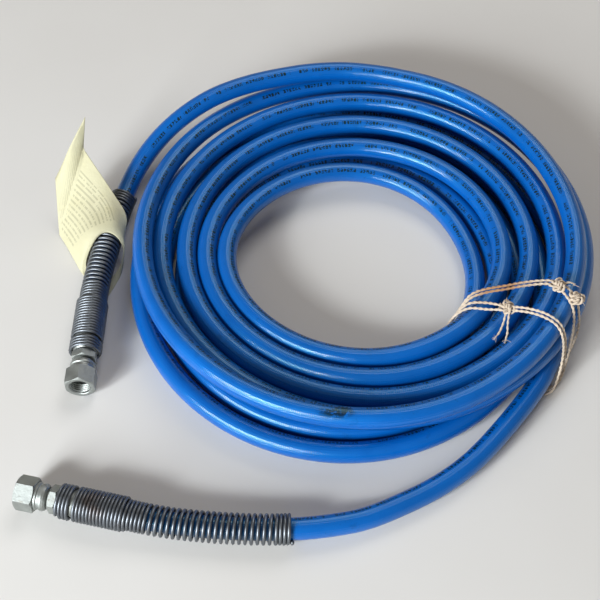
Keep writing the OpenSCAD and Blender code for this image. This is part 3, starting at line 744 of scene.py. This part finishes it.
def make_ties(material):
    """Four strands round the bundle. Each leaves a knot and comes back to it."""
    steps, step = 8, 1
    for tie, strands in enumerate(TIE_ROUTE):
        for n, strand in enumerate(strands):
            loop = over_floor(spline_loop(strand, steps))
            knot = KNOT_MIDDLE[0 if tie == 0 else 1 + n]
            start = np.linalg.norm(loop - knot, axis=1).argmin()
            line = np.roll(loop, -start, axis=0)
            line = evenly(np.concatenate([line, line[:1]]), step)
            piece = twine_tube(f"twine_strand_{tie + 1}_{n + 1}", line)
            dress(piece, "hose", material, [f"twine_tie_{tie + 1}"])


def knot_at(n, t, size=KNOT_SIZE, turn=0.0, flat=1.0):
    """A point of knot n, a trefoil."""
    x, y = np.sin(t) + 2 * np.sin(2 * t), np.cos(t) - 2 * np.cos(2 * t)
    a = KNOT_TURN[n] + turn
    local = np.stack([x * math.cos(a) - y * math.sin(a), x * math.sin(a) + y * math.cos(a),
                      -flat * np.sin(3 * t)], axis=-1)
    return KNOT_MIDDLE[n] + size * local


def knot_wrap(n):
    """Twine wound round the strands where they go through knot n."""
    radius, turns, pitch, points_a_turn = 2.1, 2.6, 1.5, 24
    way = unit(KNOT_WAY[n])
    t = np.linspace(-turns / 2, turns / 2, round(turns * points_a_turn))[:, None]
    return KNOT_MIDDLE[n] + pitch * t * way + radius * round_about(way, TURN * t)


def hair(start, way, length):
    """One loose fibre that starts at a point and bends a little."""
    thick, slack, lowest = 0.24, 0.25, 0.2
    t = np.linspace(0, 1, 4)[:, None]
    bend = rng.normal(size=3) * slack * length
    line = start + way * length * t + bend * t * t
    line[:, 2] = np.maximum(line[:, 2], lowest)
    return tube("part", line, thick / 2, 4, carried_frames(line))


def knot_tail(n, start, points):
    """A loose end that leaves knot n, and the fibres at its tip."""
    steps, thinner, fibres, inset = 8, 0.85, 9, 0.8
    first = knot_at(n, np.radians(start))
    rest = over_floor(points)
    line = spline([2 * first - rest[0], first, *rest, 2 * rest[-1] - rest[-2]], steps)
    parts = [twine_tube("part", line, thinner * TWINE_D, taper=3)]
    way = unit(line[-1] - line[-4])
    for _ in range(fibres):
        spread = unit(way + 0.5 * rng.normal(size=3))
        parts.append(hair(line[-1] - inset * way, spread, rng.uniform(1.5, 3.2)))
    return parts


def joined(pieces, name):
    """All the pieces as one, under that name."""
    with bpy.context.temp_override(active_object=pieces[0], selected_editable_objects=pieces):
        bpy.ops.object.join()
    pieces[0].name = pieces[0].data.name = name
    return pieces[0]


def make_knots(material):
    """Two trefoils and a wrap each, loose ends, and fibres all over."""
    fibres, outer = 14, 1.2 * KNOT_SIZE
    once_round = np.linspace(0, TURN, 90)
    for n, tails in enumerate(KNOT_TAILS):
        parts = [twine_tube("part", knot_at(n, once_round)),
                 twine_tube("part", knot_at(n, once_round, outer, math.radians(50), 0.7)),
                 twine_tube("part", knot_wrap(n))]
        for start, points in tails:
            parts += knot_tail(n, start, points)
        for _ in range(fibres):
            at = knot_at(n, rng.uniform(0, TURN), outer)
            way = unit(rng.normal(size=3) + [0, -0.4, 0.8])
            parts.append(hair(at, way, rng.uniform(1.2, 2.6)))
        knot = joined(parts, f"twine_knot_{n + 1}_tied")
        dress(knot, "hose", material, [f"twine_knot_{n + 1}"])


# ---- the tag ----
def row_spline(points, t):
    """A smooth curve through rows of points, at t points along it."""
    last = len(points) - 1
    i = min(int(t), last - 1)
    before = points[i - 1] if i else 2 * points[0] - points[1]
    after = points[i + 2] if i < last - 1 else 2 * points[last] - points[last - 1]
    return blend4(before, points[i], points[i + 1], after, t - i)


def tag_at(place):
    """A point of the sheet. Each side of the fold is a curve of its own."""
    row, column = place
    past = row > FOLD_ROW
    rows = TAG_ROWS[FOLD_ROW:] if past else TAG_ROWS[:FOLD_ROW + 1]
    return row_spline(row_spline(rows, row - FOLD_ROW * past), column)


def tag_edge(row_steps, column_steps):
    """The sheet's edge, once round, in rows and columns."""
    rows, columns = np.arange(row_steps) / row_steps, np.arange(column_steps) / column_steps
    sides = [np.stack([rows, 0 * rows], 1), np.stack([0 * columns + 1, columns], 1),
             np.stack([1 - rows, 0 * rows + 1], 1), np.stack([0 * columns, 1 - columns], 1)]
    return np.concatenate(sides) * TAG_SIZE


def tag_places(rings, edge):
    """The sheet from its hole's edge to its own, ring by ring."""
    off = (edge - TAG_HOLE) / TAG_HOLE_R
    hole = TAG_HOLE + TAG_HOLE_R * unit(off)
    share = (np.arange(rings + 1) / rings)[:, None, None]
    return (hole * (1 - share) + edge * share).reshape(-1, 2)


def tag_normals(places):
    """The direction square to the sheet at each place."""
    reach = 0.01
    row_way, column_way = np.array([reach, 0]), np.array([0, reach])
    return unit(np.array([np.cross(tag_at(p + column_way) - tag_at(p - column_way),
                                   tag_at(p + row_way) - tag_at(p - row_way))
                          for p in np.clip(places, reach, TAG_SIZE - reach)]))


def sheet_faces(rings, n):
    """Faces of a sheet of rings of n points, whose lower side's points follow the upper's."""
    size = (rings + 1) * n
    faces = []
    for i in range(rings):
        for k in range(n):
            a, b = i * n + k, i * n + (k + 1) % n
            faces.append((a, b, b + n, a + n))
            faces.append((size + a, size + a + n, size + b + n, size + b))
    for k in range(n):
        a, b = k, (k + 1) % n
        faces.append((a, size + a, size + b, b))
        a, b = a + rings * n, b + rings * n
        faces.append((a, b, size + b, size + a))
    return faces


def make_tag(material):
    """A thin sheet with a hole, bent and folded, that stays above the floor."""
    edge, rings = tag_edge(84, 46), 32
    places = tag_places(rings, edge)
    sheet = np.array([tag_at(place) for place in places])
    sheet[:, 2] = np.maximum(sheet[:, 2], TAG_T / 2)
    thick = TAG_T / 2 * tag_normals(places)
    points = np.concatenate([sheet + thick, sheet - thick])
    points[:, 2] = np.maximum(points[:, 2], 0)
    faces = sheet_faces(rings, len(edge))
    tag = mesh_object("tag", points, faces)
    both = np.concatenate([places, places]) / TAG_SIZE
    map_faces(tag, "row_column", both[[vertex for face in faces for vertex in face]])
    dress(tag, "tag", material, ["paper_tag"])


# ---- camera, light and floor ----
DAYLIGHT = (0.92, 0.97, 1.0)


def make_camera():
    """The photograph's viewpoint."""
    elevation, distance, target = math.radians(52), 800, Vector((-12.6, -5.0, 0))
    data = bpy.data.cameras.new("camera")
    data.lens = 75
    camera = bpy.data.objects.new("camera", data)
    back = Vector((0, -math.cos(elevation), math.sin(elevation)))
    camera.location = (target + distance * back) * MM
    camera.rotation_euler = (-back).to_track_quat("-Z", "Y").to_euler()
    bpy.context.scene.collection.objects.link(camera)
    bpy.context.scene.camera = camera


def make_lamp(name, place, size, watts, colour=(1, 1, 1)):
    """A square lamp that shines at the model's origin. Its place and size are in metres."""
    data = bpy.data.lights.new(name, "AREA")
    data.size = size
    data.energy = watts
    data.color = colour
    lamp = bpy.data.objects.new(name, data)
    lamp.location = place
    lamp.rotation_euler = (-Vector(place)).to_track_quat("-Z", "Y").to_euler()
    bpy.context.scene.collection.objects.link(lamp)


def make_world():
    """Faint warm light from all sides."""
    world = bpy.data.worlds.new("studio")
    world.use_nodes = True
    back = world.node_tree.nodes["Background"]
    back.inputs["Color"].default_value = (1.0, 0.9, 0.8, 1)
    back.inputs["Strength"].default_value = 0.18
    bpy.context.scene.world = world


def make_floor():
    """A plain pale floor, just under the model."""
    half, z = 3000, -0.05
    floor = mesh_object("floor", [(-half, -half, z), (half, -half, z), (half, half, z),
                                  (-half, half, z)], [(0, 1, 2, 3)], smooth=False)
    f = Finish("floor_paint", Roughness=0.85)
    f.set("Base Color", f.mix(f.noise(f.place(), 6, 3), rgb(216, 213, 209), rgb(226, 224, 221)))
    floor.data.materials.append(f.material)


bpy.context.scene.view_settings.view_transform = "Standard"
make_camera()
make_world()
make_lamp("window", (-1.3, -1.5, 0.76), 0.9, 61, DAYLIGHT)
make_lamp("pane", (-1.3, -1.3, 0.88), 0.22, 13, DAYLIGHT)
make_lamp("overhead", (0.5, 1.2, 1.7), 1.2, 14)
make_floor()

line = hose_line()
cover, zinc, wire, twine = hose_finish(run_of(line)[-1]), zinc_finish(), wire_finish(), twine_finish()
make_hose(line, cover)
make_guard(A, "guard_a", "spring_guard_a", line, wire)
make_guard(B, "guard_b", "spring_guard_b", line[::-1], wire)
make_thread(A, "nut_thread_a", "nut_a", zinc)
make_thread(B, "nut_thread_b", "nut_b", zinc)
make_ties(twine)
make_knots(twine)
make_tag(paper_finish())

NODE_FINISH = {"core_tube_end": core_finish(), "braid_end": braid_finish(),
               "cover_end": plain_hose_finish(), "ferrule": zinc, "stem": zinc, "swivel_nut": zinc}
for node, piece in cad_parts.items():
    kind = node.rsplit("_", 1)[0]
    if kind in NODE_FINISH:
        for slot in piece.material_slots:
            slot.material = NODE_FINISH[kind]
